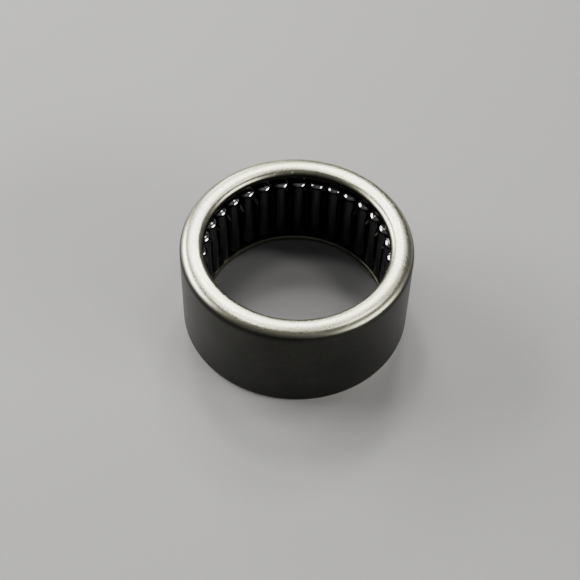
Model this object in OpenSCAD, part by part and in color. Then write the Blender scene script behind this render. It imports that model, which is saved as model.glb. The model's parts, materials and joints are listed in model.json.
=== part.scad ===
// Drawn-cup needle roller bearing, open at both ends, with a sheet-steel cage.
// +Z is the bearing's axis. The origin is the centre of the face it stands on.

/* [Bearing] */
// Diameter of the circle that the needles leave free for the shaft
shaft_d = 26; // [20:0.5:34]
// Width of the bearing over both lips
bearing_w = 16; // [12:0.5:24]

/* [Drawn cup] */
// Thickness of the cylindrical wall
cup_wall = 1.48; // [0.8:0.01:2.5]
// Thickness of the drawn lip at the top
top_lip_t = 1.5; // [1.3:0.05:2]
// Thickness of the turned-in lip at the bottom
bottom_lip_t = 0.95; // [0.8:0.05:1.6]
// Radial gap between the shaft and the bore of the lips
lip_gap = 0.5; // [0.3:0.05:0.8]
// Outside corner radius at the drawn end
top_corner_r = 1.25; // [0.6:0.05:1.5]
// Outside corner radius at the turned-in end
bottom_corner_r = 0.6; // [0.3:0.05:0.8]
// Radius on the outer edge of the top lip's bore
top_lip_edge_r = 1; // [0.3:0.05:1.05]
// Radius on the other three edges of the lips' bores
lip_edge_r = 0.2; // [0.1:0.05:0.3]
// Fillet between the raceway and each lip
cup_fillet_r = 0.25; // [0.1:0.05:0.4]

/* [Needles] */
// Diameter of a needle
needle_d = 2.5; // [2:0.1:3.2]
// Smallest gap between neighbouring needles, measured on their pitch circle
needle_spacing = 0.28; // [0.25:0.01:1.2]
// Radial play between a needle and the raceway
needle_play = 0.02; // [0.01:0.01:0.05]
// Radius on the edge of a needle's end
needle_edge_r = 0.6; // [0.2:0.05:0.8]
// Height of the crown on a needle's end
needle_crown = 0.1; // [0.05:0.05:0.3]

/* [Cage] */
// Thickness of the cage's sheet
cage_t = 0.5; // [0.3:0.05:0.6]
// Radial gap between the cage's rims and the raceway
rim_gap = 0.1; // [0.05:0.05:0.2]
// Radial gap between the cage's waist and the shaft
waist_gap = 0.15; // [0.1:0.05:0.3]
// Axial gap between the cage and each lip
cage_end_gap = 0.12; // [0.05:0.01:0.3]
// Width of the closed rim beyond the pockets
rim_w = 0.7; // [0.5:0.05:1.5]
// Length of the straight shoulder, from the cage's end to the start of the slope
shoulder_l = 2.4; // [1.5:0.1:3]
// Axial length of the slope between shoulder and waist
slope_l = 1.7; // [1:0.1:2.5]
// Gap between a needle's side and its pocket
pocket_gap = 0.05; // [0.03:0.01:0.1]
// Gap between a needle's end and its pocket
pocket_end_gap = 0.055; // [0.03:0.005:0.15]
// How much narrower than a needle the window is at the waist, which keeps the needle in
snap_w = 0.2; // [0.1:0.05:0.4]
// Corner radius of the windows
window_corner_r = 0.25; // [0.1:0.05:0.4]

/* [Hidden] */
$fn = 96;
shaft_r = shaft_d / 2;
needle_r = needle_d / 2;

// Radii of the cup
raceway_r = shaft_r + needle_d + needle_play;
cup_r = raceway_r + cup_wall;
lip_bore_r = shaft_r + lip_gap;

// The room between the lips
room_bottom = bottom_lip_t;
room_top = bearing_w - top_lip_t;
room_mid = (room_bottom + room_top) / 2;

// Cage and needles, both centred in that room
cage_l = room_top - room_bottom - 2 * cage_end_gap;
rim_r = raceway_r - rim_gap;
waist_r = shaft_r + waist_gap;
window_l = cage_l - 2 * rim_w;
window_w = needle_d - snap_w;
needle_l = window_l - 2 * pocket_end_gap;
pitch_r = shaft_r + needle_r;
needle_count = floor(2 * PI * pitch_r / (needle_d + needle_spacing));
needle_pitch = 360 / needle_count;

// A cutting shape reaches this far past what it cuts
over = 1;

function needle_name(i) = str("needle_", i < 10 ? "0" : "", i);

// What rounding takes off a corner: the corner is the origin and the material lies towards +X and +Y
module corner_off(r) {
    difference() {
        translate([-over, -over]) square(r + over);
        translate([r, r]) circle(r);
        translate([r, -2 * over]) square([r + over, r + 3 * over]);
        translate([-2 * over, r]) square([r + 3 * over, r + over]);
    }
}

// The same, for a corner at any place, with the material towards side_x and side_y
module corner_off_at(x, y, side_x, side_y, r) {
    translate([x, y])
        mirror([side_x < 0 ? 1 : 0, 0])
            mirror([0, side_y < 0 ? 1 : 0])
                corner_off(r);
}

// The free room between the lips, with its two corners at the raceway filleted
module cup_room_section() {
    difference() {
        translate([0, room_bottom]) square([raceway_r, room_top - room_bottom]);
        corner_off_at(raceway_r, room_bottom, -1, 1, cup_fillet_r);
        corner_off_at(raceway_r, room_top, -1, -1, cup_fillet_r);
    }
}

// Half section of the cup: the wall, and a lip at each end
module cup_section() {
    difference() {
        translate([lip_bore_r, 0]) square([cup_r - lip_bore_r, bearing_w]);
        cup_room_section();
        corner_off_at(cup_r, bearing_w, -1, -1, top_corner_r);
        corner_off_at(cup_r, 0, -1, 1, bottom_corner_r);
        corner_off_at(lip_bore_r, bearing_w, 1, -1, top_lip_edge_r);
        corner_off_at(lip_bore_r, room_top, 1, 1, lip_edge_r);
        corner_off_at(lip_bore_r, room_bottom, 1, -1, lip_edge_r);
        corner_off_at(lip_bore_r, 0, 1, 1, lip_edge_r);
    }
}

module drawn_cup() {
    color("gainsboro") rotate_extrude() cup_section();
}

// Centre of the sheet at the shoulders and at the waist
function shoulder_mid_r() = rim_r - cage_t / 2;
function waist_mid_r() = waist_r + cage_t / 2;

// The sloping sheet from a shoulder to the waist, with round bends at both ends
module slope_section() {
    run = shoulder_mid_r() - waist_mid_r();
    slope = atan2(slope_l, run);
    slope_len = norm([run, slope_l]);
    translate([waist_mid_r(), 0]) circle(cage_t / 2);
    translate([shoulder_mid_r(), slope_l]) circle(cage_t / 2);
    translate([waist_mid_r(), 0]) rotate(slope) translate([0, -cage_t / 2]) square([slope_len, cage_t]);
}

// Upper half of the cage's section, from its middle at height 0: waist, slope and shoulder
module half_cage_section() {
    slope_start = cage_l / 2 - shoulder_l - slope_l;
    translate([waist_r, 0]) square([cage_t, slope_start]);
    translate([0, slope_start]) slope_section();
    translate([rim_r - cage_t, slope_start + slope_l]) square([cage_t, shoulder_l]);
}

module cage_section() {
    translate([0, room_mid]) {
        half_cage_section();
        mirror([0, 1]) half_cage_section();
    }
}

// Outline of a window as the punch sees it, centred on the origin, with rounded corners
module window_outline() {
    x = window_w / 2 - window_corner_r;
    y = window_l / 2 - window_corner_r;
    square([window_w, 2 * y], center = true);
    square([2 * x, window_l], center = true);
    for (side_x = [-1, 1]) {
        for (side_y = [-1, 1]) {
            translate([side_x * x, side_y * y]) circle(window_corner_r);
        }
    }
}

// What is taken out of the cage for one needle, on the +X side: a window right through the
// sheet, and a round pocket that follows the needle where the sheet crosses the pitch circle
module pocket() {
    window_in = waist_r - over;
    window_out = rim_r + over;
    translate([window_in, 0, room_mid])
        rotate([90, 0, 90])
            linear_extrude(window_out - window_in) window_outline();
    translate([pitch_r, 0, room_mid])
        cylinder(h = window_l - 2 * window_corner_r, r = needle_r + pocket_gap, center = true);
}

module cage() {
    color("dimgray") difference() {
        rotate_extrude() cage_section();
        for (i = [1 : needle_count]) {
            rotate(i * needle_pitch) pocket();
        }
    }
}

// Half section of a needle from its middle up: the side, a rounded edge and a crowned end
module half_needle_section() {
    flat_r = needle_r - needle_edge_r;
    crown_r = (flat_r * flat_r + needle_crown * needle_crown) / (2 * needle_crown);
    half_l = needle_l / 2;
    edge_top = half_l - needle_crown;
    square([needle_r, edge_top - needle_edge_r]);
    square([flat_r, edge_top]);
    intersection() {
        translate([flat_r, edge_top - needle_edge_r]) circle(needle_edge_r);
        translate([0, edge_top - needle_edge_r]) square(needle_r);
    }
    intersection() {
        translate([0, half_l - crown_r]) circle(crown_r, $fn = 4 * $fn);
        translate([0, edge_top]) square([flat_r, 2 * needle_crown]);
    }
}

module needle(i) {
    color("silver")
        rotate(i * needle_pitch)
            translate([pitch_r, 0, room_mid])
                rotate_extrude() {
                    half_needle_section();
                    mirror([0, 1]) half_needle_section();
                }
}

drawn_cup();
cage();
for (i = [1 : needle_count]) needle(i);
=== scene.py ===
"""Looks of a drawn-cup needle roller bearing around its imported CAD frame.

The file is laid out as an add-on: settings, one operator for each piece or group of like pieces,
one for the stage, and a panel that lists them. Lengths are in metres, in the CAD model's frame.
"""

import json
import math

import bpy
from bpy.props import FloatProperty, FloatVectorProperty, IntProperty, PointerProperty
from mathutils import Matrix, Vector


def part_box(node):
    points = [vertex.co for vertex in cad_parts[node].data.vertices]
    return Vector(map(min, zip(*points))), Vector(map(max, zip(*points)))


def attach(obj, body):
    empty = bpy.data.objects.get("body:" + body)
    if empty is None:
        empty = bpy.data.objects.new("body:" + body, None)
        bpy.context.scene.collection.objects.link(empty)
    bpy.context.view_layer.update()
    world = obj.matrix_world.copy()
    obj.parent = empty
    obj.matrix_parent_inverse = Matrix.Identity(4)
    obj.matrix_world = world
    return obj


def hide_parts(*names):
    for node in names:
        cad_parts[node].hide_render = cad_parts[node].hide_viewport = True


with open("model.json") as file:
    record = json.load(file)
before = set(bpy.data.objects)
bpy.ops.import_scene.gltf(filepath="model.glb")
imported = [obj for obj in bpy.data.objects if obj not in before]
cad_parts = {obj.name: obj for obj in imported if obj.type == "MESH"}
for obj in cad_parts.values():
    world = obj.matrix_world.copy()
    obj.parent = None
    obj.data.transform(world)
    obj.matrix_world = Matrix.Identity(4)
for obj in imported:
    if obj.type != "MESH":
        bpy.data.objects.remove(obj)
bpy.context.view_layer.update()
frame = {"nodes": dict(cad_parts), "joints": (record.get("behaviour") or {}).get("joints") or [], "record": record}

bl_info = {
    "name": "Needle roller bearing",
    "version": (1, 0, 0),
    "blender": (4, 5, 0),
    "location": "View3D > Sidebar > Bearing",
    "description": "Turns, grinds and finishes the pieces of a drawn-cup needle roller bearing",
    "category": "Object",
}

MM = 0.001
WARM = (1.0, 0.985, 0.95)

# ---------------------------------------------------------------- sizes taken from the frame

MOUNTS = {mount["name"]: mount for mount in frame["record"]["mounts"]}
NEEDLES = [name for name in sorted(frame["nodes"]) if name.startswith("needle_")]


def mount_radius(name):
    return MOUNTS[name]["dims"]["r_mm"] * MM


def mount_span(name):
    """The lowest and highest height of a round mount's wall."""
    middle = MOUNTS[name]["pos_m"][2]
    half = MOUNTS[name]["dims"]["length_mm"] * MM / 2
    return middle - half, middle + half


def needle_axes():
    """Where each needle's axis stands, by the joint that it spins on."""
    return {
        joint["child"]: Vector(joint["pos_m"]) for joint in frame["joints"] if joint["child"] in NEEDLES}


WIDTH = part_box("drawn_cup")[1].z
SEAT = mount_span("housing_seat")
UPPER_LIP = mount_span("upper_lip_bore")
LOWER_LIP = mount_span("lower_lip_bore")
NEEDLE_LOW, NEEDLE_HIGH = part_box(NEEDLES[0])
PITCH_R = needle_axes()[NEEDLES[0]].xy.length
NEEDLE_R = PITCH_R - mount_radius("shaft_seat")
NEEDLE_PLAY = 0.02 * MM

# Faces along each rounding of a section
HEEL_STEPS, SHOULDER_STEPS, CROWN_STEPS, RIM_STEPS, EDGE_STEPS = 10, 16, 8, 14, 5
NEEDLE_EDGE_STEPS, NEEDLE_CROWN_RINGS = 8, 5

ROOM_COLOUR, ROOM_STRENGTH = (0.9, 0.92, 1.0, 1.0), 0.05
SENSOR_WIDTH, NEAREST, FARTHEST = 36.0, 0.005, 20.0


# ---------------------------------------------------------------- settings


class BearingCup(bpy.types.PropertyGroup):
    outer_radius: FloatProperty(
        name="Outside radius", description="Radius of the wall that is pressed into the housing",
        default=mount_radius("housing_seat"), unit="LENGTH")
    lip_radius: FloatProperty(
        name="Lip bore", description="Radius of the bore through both lips",
        default=mount_radius("upper_lip_bore"), unit="LENGTH")
    raceway_radius: FloatProperty(
        name="Raceway", description="Radius of the track that the needles roll on",
        default=PITCH_R + NEEDLE_R + NEEDLE_PLAY, unit="LENGTH")
    width: FloatProperty(
        name="Width", description="Height of the cup over both lips", default=WIDTH, unit="LENGTH")
    shoulder: FloatProperty(
        name="Shoulder", description="Radius of the drawn corner between wall and upper lip",
        default=1.45 * MM, unit="LENGTH")
    crown_tilt: FloatProperty(
        name="Crown", description="Slope of the upper lip's crowned face where its roundings begin",
        default=math.radians(11.5), subtype="ANGLE")
    rim: FloatProperty(
        name="Rim", description="Radius between the upper lip's face and its bore",
        default=WIDTH - UPPER_LIP[1], unit="LENGTH")
    heel: FloatProperty(
        name="Heel", description="Radius of the corner between wall and lower lip", default=SEAT[0],
        unit="LENGTH")
    edge: FloatProperty(
        name="Edges", description="Radius on the small edges of the lips' bores", default=LOWER_LIP[0],
        unit="LENGTH")
    fillet: FloatProperty(
        name="Fillet", description="Radius between the raceway and each lip", default=0.25 * MM,
        unit="LENGTH")
    steps: IntProperty(
        name="Steps round", description="Faces round the cup", default=288, min=48, max=720)


class BearingNeedles(bpy.types.PropertyGroup):
    edge_radius: FloatProperty(
        name="End edge", description="Radius on the edge of a needle's end", default=0.85 * MM,
        unit="LENGTH")
    crown: FloatProperty(
        name="Crown", description="How far the middle of an end stands out", default=0.1 * MM,
        unit="LENGTH")
    steps: IntProperty(
        name="Steps round", description="Faces round a needle", default=48, min=12, max=96)


class BearingFinishes(bpy.types.PropertyGroup):
    # Painted highlight: the lip's colour is a lit copy of the wall's steel, brighter than bare steel.
    lip_painted_highlight_colour: FloatVectorProperty(
        name="Lip", description="Reflected colour of the cup's lip, where it is rubbed bright",
        subtype="COLOR", default=(0.92, 0.91, 0.70))
    # Painted shade: the wall's colour is a shaded copy of the lip's steel, near black.
    wall_painted_shade_colour: FloatVectorProperty(
        name="Wall", description="Reflected colour of the cup's wall", subtype="COLOR",
        default=(0.034, 0.034, 0.030))
    # Painted shade: the cage is near black so that it sits in the dark between the needles.
    cage_painted_shade_colour: FloatVectorProperty(
        name="Cage", description="Reflected colour of the cage's darkened steel", subtype="COLOR",
        default=(0.012, 0.012, 0.011))
    # Painted shade: the needles' sides are near black, a shaded copy of their steel.
    needle_side_painted_shade_colour: FloatVectorProperty(
        name="Needle sides", description="Reflected colour of the needles' lapped sides", subtype="COLOR",
        default=(0.055, 0.055, 0.055))
    # Painted highlight: the needles' rounded ends are bright, a lit copy of the same steel.
    needle_end_painted_highlight_colour: FloatVectorProperty(
        name="Needle ends", description="Reflected colour of the needles' bright ends", subtype="COLOR",
        default=(0.75, 0.75, 0.74))


class BearingStage(bpy.types.PropertyGroup):
    floor_colour: FloatVectorProperty(
        name="Floor", description="Colour of the plain floor", subtype="COLOR", default=(0.50, 0.50, 0.50))
    floor_size: FloatProperty(
        name="Floor size", description="Length of the floor's sides", default=4.0, unit="LENGTH")
    camera_distance: FloatProperty(
        name="Distance", description="From the camera to the middle of the top face", default=0.1902,
        unit="LENGTH")
    camera_elevation: FloatProperty(
        name="Elevation", description="How far the camera looks down", default=math.radians(50.26),
        subtype="ANGLE")
    camera_pan: FloatProperty(
        name="Pan", description="How far right of the picture's middle the bearing stands",
        default=math.radians(0.312), subtype="ANGLE")
    camera_tilt: FloatProperty(
        name="Tilt", description="How far above the picture's middle the bearing stands",
        default=math.radians(2.116), subtype="ANGLE")
    camera_roll: FloatProperty(
        name="Roll", description="How far the camera leans", default=math.radians(1.95), subtype="ANGLE")
    lens: FloatProperty(name="Lens", description="Focal length on a 36 mm sensor", default=82.0)


# ---------------------------------------------------------------- modelling helpers


def select_only(*objects):
    """Leaves edit mode, and selects just these objects. The first is the active one."""
    if bpy.context.object and bpy.context.object.mode != "OBJECT":
        bpy.ops.object.mode_set(mode="OBJECT")
    bpy.ops.object.select_all(action="DESELECT")
    for piece in objects:
        piece.select_set(True)
    bpy.context.view_layer.objects.active = objects[0] if objects else None


def name_piece(name):
    """Names the object that was just added, and its mesh."""
    piece = bpy.context.object
    piece.name = name
    piece.data.name = name
    return piece


def pick(piece, element, test):
    """In edit mode, selects exactly the vertices, edges or faces whose corners all pass the test."""
    bpy.ops.mesh.select_all(action="DESELECT")
    bpy.ops.mesh.select_mode(type=element)
    bpy.ops.object.mode_set(mode="OBJECT")
    mesh = piece.data
    passed = [test(vertex.co) for vertex in mesh.vertices]
    if element == "VERT":
        for vertex, ok in zip(mesh.vertices, passed):
            vertex.select = ok
    else:
        for item in (mesh.edges if element == "EDGE" else mesh.polygons):
            item.select = all(passed[i] for i in item.vertices)
    bpy.ops.object.mode_set(mode="EDIT")


def near(value, target, slack=1e-6):
    return abs(value - target) < slack


def pull_ring(radius_from, height_from, radius_to, height_to):
    """Extrudes the selected ring, and brings the new ring to another radius and height."""
    bpy.ops.mesh.extrude_edges_move(TRANSFORM_OT_translate={"value": (0, 0, height_to - height_from)})
    if not near(radius_from, radius_to):
        scale = radius_to / radius_from
        bpy.ops.transform.resize(value=(scale, scale, 1), center_override=(0, 0, 0))


def arc(radius, height, rounding, start, end, steps):
    """Points of a section on a round corner, whose centre stands at that radius and height."""
    points = []
    for step in range(steps + 1):
        angle = math.radians(start + (end - start) * step / steps)
        points.append((radius + rounding * math.cos(angle), height + rounding * math.sin(angle)))
    return points


def cup_section(cup):
    """The cup's half section as a closed run of (radius, height), from the foot up the outside."""
    outer, lip, race, top = cup.outer_radius, cup.lip_radius, cup.raceway_radius, cup.width
    edge, fillet = cup.edge, cup.fillet
    tilt = math.degrees(cup.crown_tilt)
    slope, fall = math.sin(cup.crown_tilt), 1 - math.cos(cup.crown_tilt)
    spare = outer - lip - cup.shoulder - cup.rim
    crown = (spare / slope + cup.shoulder + cup.rim) / 2
    crown_middle = outer - cup.shoulder - (crown - cup.shoulder) * slope
    shoulder_height = top - crown * fall - cup.shoulder * (1 - fall)
    rim_height = top - crown * fall - cup.rim * (1 - fall)
    under_lip = UPPER_LIP[0] - edge
    on_lip = LOWER_LIP[1] + edge
    return (
        arc(outer - cup.heel, cup.heel, cup.heel, -90, 0, HEEL_STEPS)
        + arc(outer - cup.shoulder, shoulder_height, cup.shoulder, 0, 90 - tilt, SHOULDER_STEPS)
        + arc(crown_middle, top - crown, crown, 90 - tilt, 90 + tilt, CROWN_STEPS)[1:-1]
        + arc(lip + cup.rim, rim_height, cup.rim, 90 + tilt, 180, RIM_STEPS)
        + arc(lip + edge, under_lip + edge, edge, 180, 270, EDGE_STEPS)
        + arc(race - fillet, under_lip - fillet, fillet, 90, 0, EDGE_STEPS)
        + arc(race - fillet, on_lip + fillet, fillet, 0, -90, EDGE_STEPS)
        + arc(lip + edge, on_lip - edge, edge, 90, 180, EDGE_STEPS)
        + arc(lip + edge, edge, edge, 180, 270, EDGE_STEPS))


def settle(piece):
    """Gives a finished mesh outward normals and its object the origin."""
    bpy.ops.object.mode_set(mode="EDIT")
    bpy.ops.mesh.select_all(action="SELECT")
    bpy.ops.mesh.remove_doubles(threshold=1e-7)
    bpy.ops.mesh.normals_make_consistent(inside=False)
    bpy.ops.object.mode_set(mode="OBJECT")
    bpy.ops.object.transform_apply(location=True, rotation=True, scale=True)


# ---------------------------------------------------------------- materials


class Wire:
    """A socket in an expression: each operator adds the node that works it out."""

    def __init__(self, finish, socket):
        self.finish = finish
        self.socket = socket

    def maths(self, operation, first, second=0.0):
        return self.finish.add("ShaderNodeMath", {"operation": operation}, {0: first, 1: second})

    def __add__(self, other):
        return self.maths("ADD", self, other)

    def __radd__(self, other):
        return self.maths("ADD", other, self)

    def __sub__(self, other):
        return self.maths("SUBTRACT", self, other)

    def __rsub__(self, other):
        return self.maths("SUBTRACT", other, self)

    def __mul__(self, other):
        return self.maths("MULTIPLY", self, other)

    def __rmul__(self, other):
        return self.maths("MULTIPLY", other, self)

    def __abs__(self):
        return self.maths("ABSOLUTE", self)

    def root(self):
        return self.maths("SQRT", self)

    def swing(self, amount):
        """A noise's departure from its middle value, times an amount."""
        return amount * (self - 0.5)

    def step(self, low, high):
        """0 below low, 1 above high, and a smooth rise between. With low above high it falls."""
        return self.finish.add(
            "ShaderNodeMapRange", {"interpolation_type": "SMOOTHSTEP"},
            {"Value": self, "From Min": low, "From Max": high})


class Finish:
    """A material that is built from its nodes' types, settings and inputs."""

    def __init__(self, name):
        self.material = bpy.data.materials.new(name)
        self.material.use_nodes = True
        self.tree = self.material.node_tree
        self.tree.nodes.clear()

    def add(self, kind, settings=None, inputs=None, output=0):
        """Adds a node: its settings come first, then the values or links of its inputs."""
        node = self.tree.nodes.new(kind)
        for key, value in (settings or {}).items():
            setattr(node, key, value)
        for key, value in (inputs or {}).items():
            if isinstance(value, Wire):
                self.tree.links.new(value.socket, node.inputs[key])
            else:
                node.inputs[key].default_value = value
        return Wire(self, node.outputs[output]) if node.outputs else node

    def millimetres(self):
        """Object coordinates in millimetres, and their three parts."""
        place = self.add("ShaderNodeTexCoord", output=3)
        scaled = self.add("ShaderNodeVectorMath", {"operation": "SCALE"}, {0: place, "Scale": 1 / MM})
        parts = self.add("ShaderNodeSeparateXYZ", None, {0: scaled}).socket.node.outputs
        return (scaled, *(Wire(self, part) for part in parts))

    def vector(self, x, y, z):
        return self.add("ShaderNodeCombineXYZ", None, {0: x, 1: y, 2: z})

    def noise(self, vector, scale, detail=2.0, roughness=0.5, distortion=0.0):
        return self.add("ShaderNodeTexNoise", None, {
            "Vector": vector, "Scale": scale, "Detail": detail, "Roughness": roughness,
            "Distortion": distortion})

    def mix(self, factor, first, second):
        """Two colours, by a factor from 0 to 1."""
        return self.add("ShaderNodeMix", {"data_type": "RGBA"}, {0: factor, 6: first, 7: second}, output=2)

    def bump(self, height, distance, strength):
        return self.add(
            "ShaderNodeBump", None, {"Height": height, "Distance": distance, "Strength": strength})

    def shade(self, **sockets):
        """Ends the material with one Principled shader. Underscores in a name stand for spaces."""
        values = {key.replace("_", " "): value for key, value in sockets.items()}
        shader = self.add("ShaderNodeBsdfPrincipled", None, values)
        self.add("ShaderNodeOutputMaterial", None, {"Surface": shader})
        return self.material


def rgba(colour, scale=1.0):
    return (*(channel * scale for channel in colour), 1.0)


def dress(piece, material):
    """Puts one material in all of a piece's slots."""
    if not piece.material_slots:
        piece.data.materials.append(material)
    for slot in piece.material_slots:
        slot.material = material


# ---------------------------------------------------------------- finishes


def cup_steel(finishes, cup):
    """Case-hardened sheet steel, tumbled to a satin grain. The lip's bright colour is a painted highlight and the
    wall's dark colour is painted shade: lit and shaded copies of the one steel, with the lip also smoother.
    """
    finish = Finish("cup_steel_tumbled")
    place, x, y, z = finish.millimetres()
    radius = (x * x + y * y).root()
    outer, top, race = cup.outer_radius / MM, cup.width / MM, cup.raceway_radius / MM
    low, high = LOWER_LIP[1] / MM, UPPER_LIP[0] / MM
    grain = finish.noise(place, 4.2, detail=3.0, roughness=0.65)
    pits = finish.noise(place, 2.2, detail=1.0)
    cloud = finish.noise(place, 0.16, detail=3.0, roughness=0.55)
    smudge = finish.noise(place, 0.45, detail=2.0, distortion=0.6)
    draw_lines = finish.noise(
        finish.vector(x * 0.12, y * 0.12, (z - radius) * 9.0), 1.0, detail=3.0, roughness=0.65)
    hair = finish.noise(place, 0.35, detail=5.0, roughness=0.55, distortion=1.4)
    scratch = abs(hair - 0.5).step(0.006, 0.0) * pits.step(0.5, 0.64)
    # Top band of the lip: its lighter colour (through bright) is a painted highlight; its lower roughness is a
    # rubbed finish.
    rubbed = z.step(top - 0.85, top - 0.08)
    # Painted highlight along the heel rounding at the foot of the wall.
    foot = z.step(0.75, 0.1) * radius.step(outer - 1.0, outer - 0.2)
    # Painted highlight on the lower lip's edge.
    low_lip = z.step(low + 0.4, low + 0.2) * radius.step(outer - 0.2, outer - 1.0)
    # Painted shade on the raceway between the lips, behind the needles.
    inside = radius.step(race + 0.2, race - 0.05) * z.step(low + 0.2, low + 0.4) * z.step(high, high - 0.5)
    # bright adds up the painted highlights: they take the lip's colour, and a lower roughness.
    bright = rubbed + foot * 0.5 + low_lip * 0.5
    tone = 0.5 + grain.swing(0.9) + cloud.swing(0.5) + draw_lines.swing(0.25)
    stain = tone + smudge.swing(0.3)
    # Painted shade on the wall and painted highlight on the lip; the stain and tone within each are random.
    wall = finish.mix(stain, rgba(finishes.wall_painted_shade_colour, 0.35), rgba(finishes.wall_painted_shade_colour, 1.65))
    lip = finish.mix(tone, rgba(finishes.lip_painted_highlight_colour, 0.72), rgba(finishes.lip_painted_highlight_colour, 1.14))
    colour = finish.mix(bright, wall, lip)
    # Painted shade: the raceway is darkened to a quarter of the wall's colour.
    colour = finish.mix(inside * 0.8, colour, rgba(finishes.wall_painted_shade_colour, 0.25))
    colour = finish.mix(scratch * bright * 0.5, colour, rgba(finishes.lip_painted_highlight_colour, 1.3))
    rough = 0.38 - 0.06 * bright - 0.03 * rubbed
    rough = rough + grain.swing(0.16) + smudge.swing(0.06) + draw_lines.swing(0.06)
    relief = grain * 0.5 + draw_lines * 0.25 + pits * 0.2 - scratch * 0.6
    return finish.shade(
        Base_Color=colour, Metallic=1.0, Roughness=rough, Normal=finish.bump(relief, 0.020 * MM, 0.6))


def needle_steel(finishes):
    """Through-hardened steel with fine lines round its side. The side's dark colour is painted shade and the
    rounded ends' bright colour is a painted highlight: shaded and lit copies of the one steel.
    """
    finish = Finish("needle_steel_lapped")
    place, x, y, z = finish.millimetres()
    middle = (NEEDLE_LOW.z + NEEDLE_HIGH.z) / 2 / MM
    half = (NEEDLE_HIGH.z - NEEDLE_LOW.z) / 2 / MM
    lines = finish.noise(finish.vector(x * 0.3, y * 0.3, z * 22.0), 1.0, detail=2.0)
    haze = finish.noise(place, 0.6, detail=3.0)
    specks = finish.noise(place, 9.0, detail=1.0).step(0.70, 0.78)
    # Painted highlight: the rounded ends take the bright end colour.
    end = abs(z - middle).step(half - 0.62, half - 0.42)
    tone = 0.5 + haze.swing(0.6) + lines.swing(0.3) - 0.4 * specks
    # Painted shade on the side, then the painted highlight on the ends.
    side = finish.mix(tone, rgba(finishes.needle_side_painted_shade_colour, 0.7), rgba(finishes.needle_side_painted_shade_colour, 1.3))
    colour = finish.mix(end, side, rgba(finishes.needle_end_painted_highlight_colour))
    rough = 0.12 + lines.swing(0.05) + haze.swing(0.08) + 0.08 * specks + 0.06 * end
    relief = lines * 0.6 + haze * 0.1
    return finish.shade(
        Base_Color=colour, Metallic=1.0, Roughness=rough, Normal=finish.bump(relief, 0.001 * MM, 0.5))


def cage_steel(finishes):
    """Pierced strip steel with a near-black colour that is painted shade, so the cage sits dark between the
    needles; rubbed a little lighter and smoother on its high places.
    """
    finish = Finish("cage_steel_darkened")
    place, x, y, z = finish.millimetres()
    radius = (x * x + y * y).root()
    waist = mount_radius("shaft_seat") / MM
    mottle = finish.noise(place, 1.6, detail=4.0, roughness=0.6)
    grain = finish.noise(place, 8.0, detail=2.0)
    roll = finish.noise(finish.vector(x * 0.2, y * 0.2, z * 7.0), 1.0, detail=2.0)
    rubbed = radius.step(waist + 0.45, waist + 0.15) * mottle.step(0.45, 0.7)
    tone = 0.5 + mottle.swing(0.7) + grain.swing(0.25) + roll.swing(0.2)
    # Painted shade: the cage's near-black colour; the rubbed mark lightens it a little, as wear.
    colour = finish.mix(tone, rgba(finishes.cage_painted_shade_colour, 0.6), rgba(finishes.cage_painted_shade_colour, 1.5))
    colour = finish.mix(rubbed * 0.3, colour, rgba(finishes.cage_painted_shade_colour, 4.0))
    rough = 0.42 + mottle.swing(0.2) + grain.swing(0.1) - 0.08 * rubbed
    relief = grain * 0.5 + roll * 0.3 + mottle * 0.3
    return finish.shade(
        Base_Color=colour, Metallic=1.0, Roughness=rough, Normal=finish.bump(relief, 0.006 * MM, 0.6))


def floor_paint(stage):
    """A plain pale board with a very slight tooth."""
    finish = Finish("floor_board")
    place = finish.millimetres()[0]
    tooth = finish.noise(place, 1.3, detail=2.0)
    tone = 0.5 + tooth.swing(0.5)
    colour = finish.mix(tone, rgba(stage.floor_colour, 0.95), rgba(stage.floor_colour, 1.05))
    return finish.shade(Base_Color=colour, Roughness=0.6, Normal=finish.bump(tooth, 0.02 * MM, 0.3))


# ---------------------------------------------------------------- pieces


class BEARING_OT_cup(bpy.types.Operator):
    """Turns the drawn cup: a wall with a lip at each end, and every corner rounded"""

    bl_idname = "bearing.cup"
    bl_label = "Drawn cup"

    def execute(self, context):
        cup = context.scene.bearing_cup
        section = cup_section(cup)
        radius, height = section[0]
        select_only()
        bpy.ops.mesh.primitive_circle_add(vertices=cup.steps, radius=radius, location=(0, 0, height))
        piece = name_piece("cup_shell")
        bpy.ops.object.mode_set(mode="EDIT")
        bpy.ops.mesh.select_all(action="SELECT")
        for start, end in zip(section, section[1:] + section[:1]):
            pull_ring(*start, *end)
        settle(piece)
        bpy.ops.object.shade_smooth()
        shading = piece.modifiers.new("even_shading", "WEIGHTED_NORMAL")
        shading.weight = 100
        bpy.ops.object.modifier_apply(modifier=shading.name)
        dress(piece, cup_steel(context.scene.bearing_finishes, cup))
        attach(piece, "drawn_cup")
        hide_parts("drawn_cup")
        return {"FINISHED"}


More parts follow.
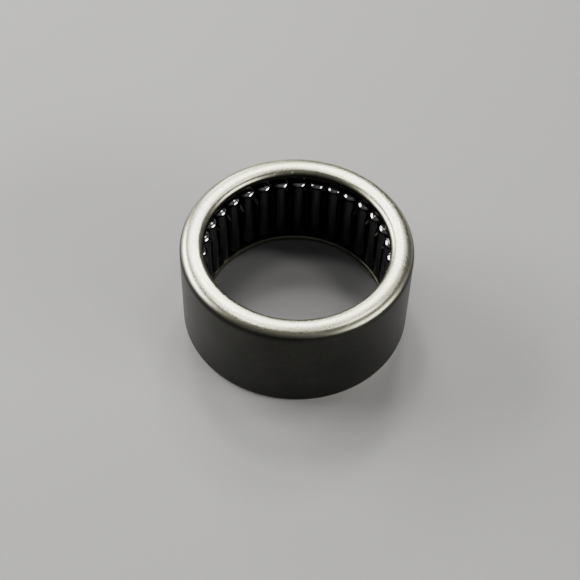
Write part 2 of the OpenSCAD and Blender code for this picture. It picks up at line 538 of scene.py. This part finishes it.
class BEARING_OT_needles(bpy.types.Operator):
    """Grinds one needle roller with rounded, crowned ends, and puts a copy in each pocket"""

    bl_idname = "bearing.needles"
    bl_label = "Needle rollers"

    def execute(self, context):
        needles = context.scene.bearing_needles
        pattern = self.grind(needles)
        material = needle_steel(context.scene.bearing_finishes)
        for node, axis in needle_axes().items():
            select_only(pattern)
            bpy.ops.object.duplicate(linked=False)
            piece = name_piece(node.replace("needle", "roller"))
            piece.location = axis
            bpy.ops.object.transform_apply(location=True, rotation=True, scale=True)
            dress(piece, material)
            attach(piece, node)
            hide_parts(node)
        bpy.data.objects.remove(pattern)
        return {"FINISHED"}

    def grind(self, needles):
        """One needle about the origin."""
        length = NEEDLE_HIGH.z - NEEDLE_LOW.z
        straight = length - 2 * needles.crown
        select_only()
        bpy.ops.mesh.primitive_cylinder_add(
            vertices=needles.steps, radius=NEEDLE_R, depth=straight, end_fill_type="NGON",
            location=(0, 0, 0))
        piece = name_piece("needle_pattern")
        bpy.ops.object.mode_set(mode="EDIT")
        for end in (-1, 1):
            pick(piece, "EDGE", lambda co: near(co.z, end * straight / 2))
            bpy.ops.mesh.bevel(
                offset=needles.edge_radius, segments=NEEDLE_EDGE_STEPS, profile=0.5, affect="EDGES")
        flat = NEEDLE_R - needles.edge_radius
        ball = (flat ** 2 + needles.crown ** 2) / (2 * needles.crown)
        for end in (-1, 1):
            pick(piece, "FACE", lambda co: near(co.z, end * straight / 2) and co.xy.length < flat + 1e-6)
            reached, height = flat, 0.0
            for step in range(1, NEEDLE_CROWN_RINGS):
                radius = flat * (1 - step / NEEDLE_CROWN_RINGS)
                rise = math.sqrt(ball ** 2 - radius ** 2) - (ball - needles.crown)
                bpy.ops.mesh.inset(thickness=reached - radius)
                bpy.ops.transform.translate(value=(0, 0, end * (rise - height)))
                reached, height = radius, rise
            bpy.ops.mesh.poke(offset=needles.crown - height)
        settle(piece)
        bpy.ops.object.shade_smooth()
        return piece


class BEARING_OT_cage(bpy.types.Operator):
    """Gives the pierced sheet-steel cage its near-black colour, which is painted shade"""

    bl_idname = "bearing.cage"
    bl_label = "Cage"

    def execute(self, context):
        piece = frame["nodes"]["cage"]
        dress(piece, cage_steel(context.scene.bearing_finishes))
        return {"FINISHED"}


# ---------------------------------------------------------------- stage


# Each soft box: the way to it from the bearing, its distance, its size and its power in watts
LIGHTS = {
    "key_box": ((-0.05, 0.62, 0.78), 0.50, (0.26, 0.17), 0.66),
    "key_spot_left": ((-0.12, 0.56, 0.82), 0.50, (0.06, 0.06), 0.26),
    "key_spot_right": ((0.12, 0.72, 0.69), 0.50, (0.06, 0.06), 0.26),
    "left_box": ((-0.80, 0.30, 0.42), 0.40, (0.34, 0.16), 1.8),
    "right_box": ((0.80, -0.35, 0.28), 0.60, (0.40, 0.15), 2.8),
    "back_box": ((-0.26, 0.86, 0.47), 0.50, (0.10, 0.08), 0.24),
    "top_right_box": ((0.33, 0.20, 0.92), 0.50, (0.09, 0.09), 0.26),
    "top_left_box": ((-0.20, 0.26, 0.94), 0.50, (0.09, 0.09), 0.22),
    "front_box": ((0.0, -0.60, 0.80), 0.60, (0.40, 0.30), 0.03),
}


def add_light(name, aim_at, direction, distance, size, power):
    """A soft box that looks at a point from a direction."""
    select_only()
    toward = Vector(direction).normalized()
    bpy.ops.object.light_add(type="AREA", location=aim_at + toward * distance)
    lamp = bpy.context.object
    lamp.name = name
    lamp.rotation_euler = toward.to_track_quat("Z", "Y").to_euler()
    lamp.data.shape = "RECTANGLE"
    lamp.data.size, lamp.data.size_y = size
    lamp.data.energy = power
    lamp.data.color = WARM


class BEARING_OT_stage(bpy.types.Operator):
    """Lays the plain floor, hangs the soft lights and places the camera"""

    bl_idname = "bearing.stage"
    bl_label = "Stage"

    def execute(self, context):
        stage = context.scene.bearing_stage
        middle = Vector((0, 0, WIDTH))
        select_only()
        bpy.ops.mesh.primitive_plane_add(size=stage.floor_size, location=(0, 0, 0))
        floor = name_piece("floor")
        dress(floor, floor_paint(stage))
        for name, (direction, distance, size, power) in LIGHTS.items():
            add_light(name, middle, direction, distance, size, power)
        world = bpy.data.worlds.new("soft_room")
        world.use_nodes = True
        background = world.node_tree.nodes["Background"]
        background.inputs["Color"].default_value = ROOM_COLOUR
        background.inputs["Strength"].default_value = ROOM_STRENGTH
        context.scene.world = world
        self.place_camera(context, stage, middle)
        return {"FINISHED"}

    def place_camera(self, context, stage, middle):
        """Stands the camera in front, looking down at the bearing's top, then pans, tilts and leans it."""
        select_only()
        bpy.ops.object.camera_add()
        camera = context.object
        camera.name = "camera"
        back = Vector((0, -math.cos(stage.camera_elevation), math.sin(stage.camera_elevation)))
        look = back.to_track_quat("Z", "Y").to_matrix().to_4x4()
        lean = Matrix.Rotation(stage.camera_roll, 4, "Z")
        tilt = Matrix.Rotation(-stage.camera_tilt, 4, "X")
        pan = Matrix.Rotation(stage.camera_pan, 4, "Y")
        stand = Matrix.Translation(middle + back * stage.camera_distance)
        camera.matrix_world = stand @ look @ lean @ tilt @ pan
        camera.data.lens = stage.lens
        camera.data.sensor_width = SENSOR_WIDTH
        camera.data.clip_start = NEAREST
        camera.data.clip_end = FARTHEST
        context.scene.camera = camera


# ---------------------------------------------------------------- panel and registration


class BEARING_PT_panel(bpy.types.Panel):
    """Lists the bearing's steps and settings"""

    bl_idname = "BEARING_PT_panel"
    bl_label = "Needle roller bearing"
    bl_space_type = "VIEW_3D"
    bl_region_type = "UI"
    bl_category = "Bearing"

    def draw(self, context):
        for step in STEPS:
            self.layout.operator(step.bl_idname)
        for group in GROUPS:
            settings = getattr(context.scene, group)
            box = self.layout.box()
            for name in settings.__annotations__:
                box.prop(settings, name)


STEPS = (BEARING_OT_stage, BEARING_OT_cup, BEARING_OT_needles, BEARING_OT_cage)
GROUPS = {
    "bearing_cup": BearingCup,
    "bearing_needles": BearingNeedles,
    "bearing_finishes": BearingFinishes,
    "bearing_stage": BearingStage,
}
CLASSES = (*GROUPS.values(), *STEPS, BEARING_PT_panel)


def register():
    for item in CLASSES:
        bpy.utils.register_class(item)
    for name, group in GROUPS.items():
        setattr(bpy.types.Scene, name, PointerProperty(type=group))


def unregister():
    for name in GROUPS:
        delattr(bpy.types.Scene, name)
    for item in reversed(CLASSES):
        bpy.utils.unregister_class(item)


def main():
    register()
    for step in STEPS:
        group, name = step.bl_idname.split(".")
        getattr(getattr(bpy.ops, group), name)()
    select_only()


if __name__ == "__main__":
    main()
